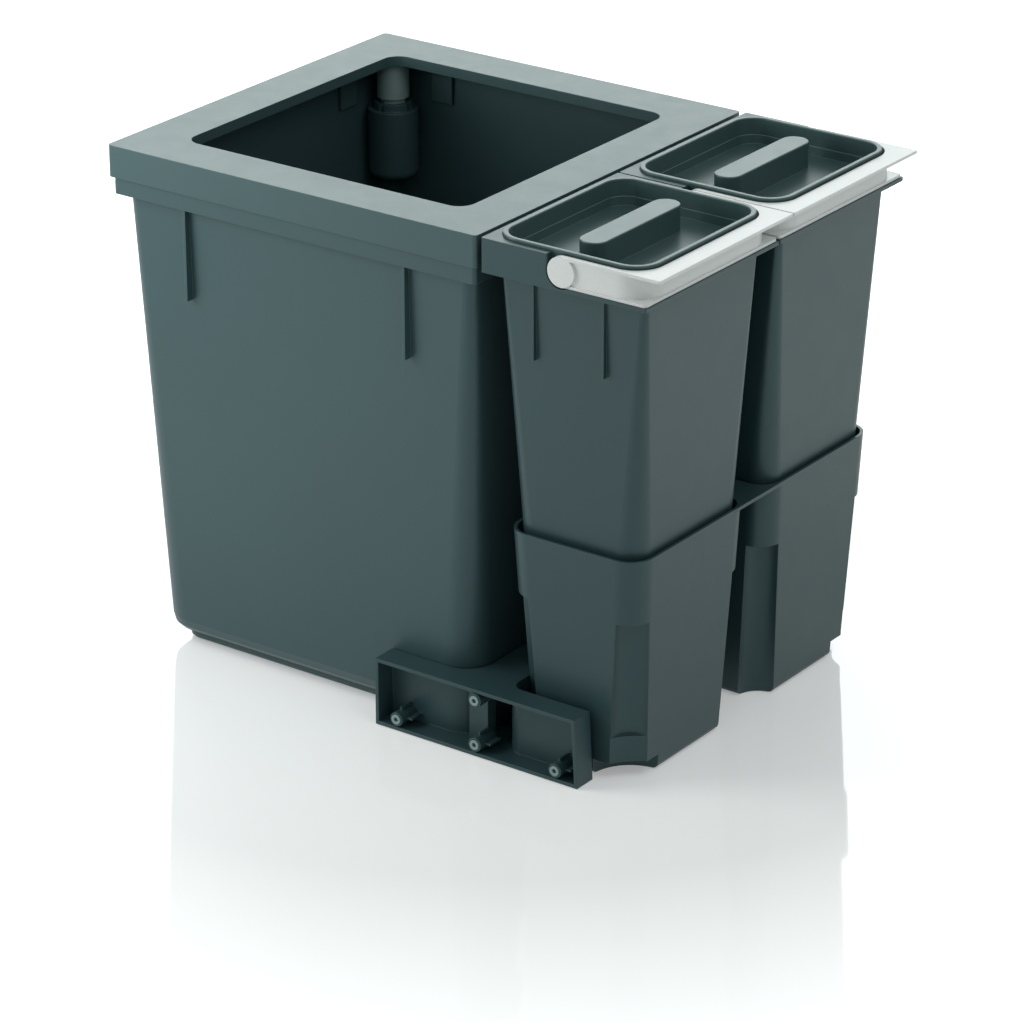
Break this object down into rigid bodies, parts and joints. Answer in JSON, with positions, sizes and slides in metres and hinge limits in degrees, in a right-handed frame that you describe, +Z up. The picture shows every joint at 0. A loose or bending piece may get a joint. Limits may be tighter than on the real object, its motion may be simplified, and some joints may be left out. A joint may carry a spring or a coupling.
{
  "type": "pull-out waste bin insert",
  "caption": "Waste bin insert for a drawer: a square bin with a bag frame beside two slim lidded bins with bail handles, standing in a double cup on a screw-on carrier.",
  "frame": {"origin": "middle of the whole insert's footprint, at floor level", "axes": "+Z up; +Y from the drawer front to the rear; +X to the right as seen from the drawer front, towards the slim bins"},
  "size_m": [0.439, 0.3066, 0.362],
  "materials": {
    "carrier_plastic": "fine matt moulded polypropylene",
    "cup_plastic": "fine matt moulded polypropylene",
    "sleeve_plastic": "light grey moulded nylon",
    "big_bin_plastic": "fine matt moulded polypropylene",
    "frame_plastic": "satin moulded polypropylene",
    "post_plastic": "light grey moulded plastic",
    "slim_bin_plastic": "fine matt moulded polypropylene",
    "lid_plastic": "semi-gloss moulded polypropylene",
    "handle_plastic": "white semi-gloss moulded plastic"
  },
  "bodies": {
    "carrier": {"base_carrier": "carrier_plastic", "cup_holder": "cup_plastic", "fixing_sleeves": "sleeve_plastic"},
    "large_bin": {"big_bin": "big_bin_plastic"},
    "frame": {"bag_frame": "frame_plastic", "frame_post": "post_plastic"},
    "slim_front": {"slim_bin_front": "slim_bin_plastic"},
    "slim_rear": {"slim_bin_rear": "slim_bin_plastic"},
    "front_lid": {"lid_front": "lid_plastic"},
    "rear_lid": {"lid_rear": "lid_plastic"},
    "front_bail": {"handle_front": "handle_plastic"},
    "rear_bail": {"handle_rear": "handle_plastic"}
  },
  "joints": [
    {"name": "large_bin_lift", "type": "slide", "parent": "carrier", "child": "large_bin", "axis": [0, 0, 1], "range_m": [0, 0.2]},
    {"name": "bag_frame_lift", "type": "slide", "parent": "large_bin", "child": "frame", "axis": [0, 0, 1], "range_m": [0, 0.05]},
    {"name": "slim_front_lift", "type": "slide", "parent": "carrier", "child": "slim_front", "axis": [0, 0, 1], "range_m": [0, 0.17]},
    {"name": "slim_rear_lift", "type": "slide", "parent": "carrier", "child": "slim_rear", "axis": [0, 0, 1], "range_m": [0, 0.17]},
    {"name": "lid_front_lift", "type": "slide", "parent": "slim_front", "child": "front_lid", "axis": [0, 0, 1], "range_m": [0, 0.03]},
    {"name": "lid_rear_lift", "type": "slide", "parent": "slim_rear", "child": "rear_lid", "axis": [0, 0, 1], "range_m": [0, 0.03]},
    {"name": "handle_front_turn", "type": "hinge", "parent": "slim_front", "child": "front_bail", "pos_m": [0.146, -0.07355, 0.3499], "axis": [0, -1, 0], "range_deg": [0, 90]},
    {"name": "handle_rear_turn", "type": "hinge", "parent": "slim_rear", "child": "rear_bail", "pos_m": [0.146, 0.07815, 0.3499], "axis": [0, -1, 0], "range_deg": [0, 90]}
  ]
}
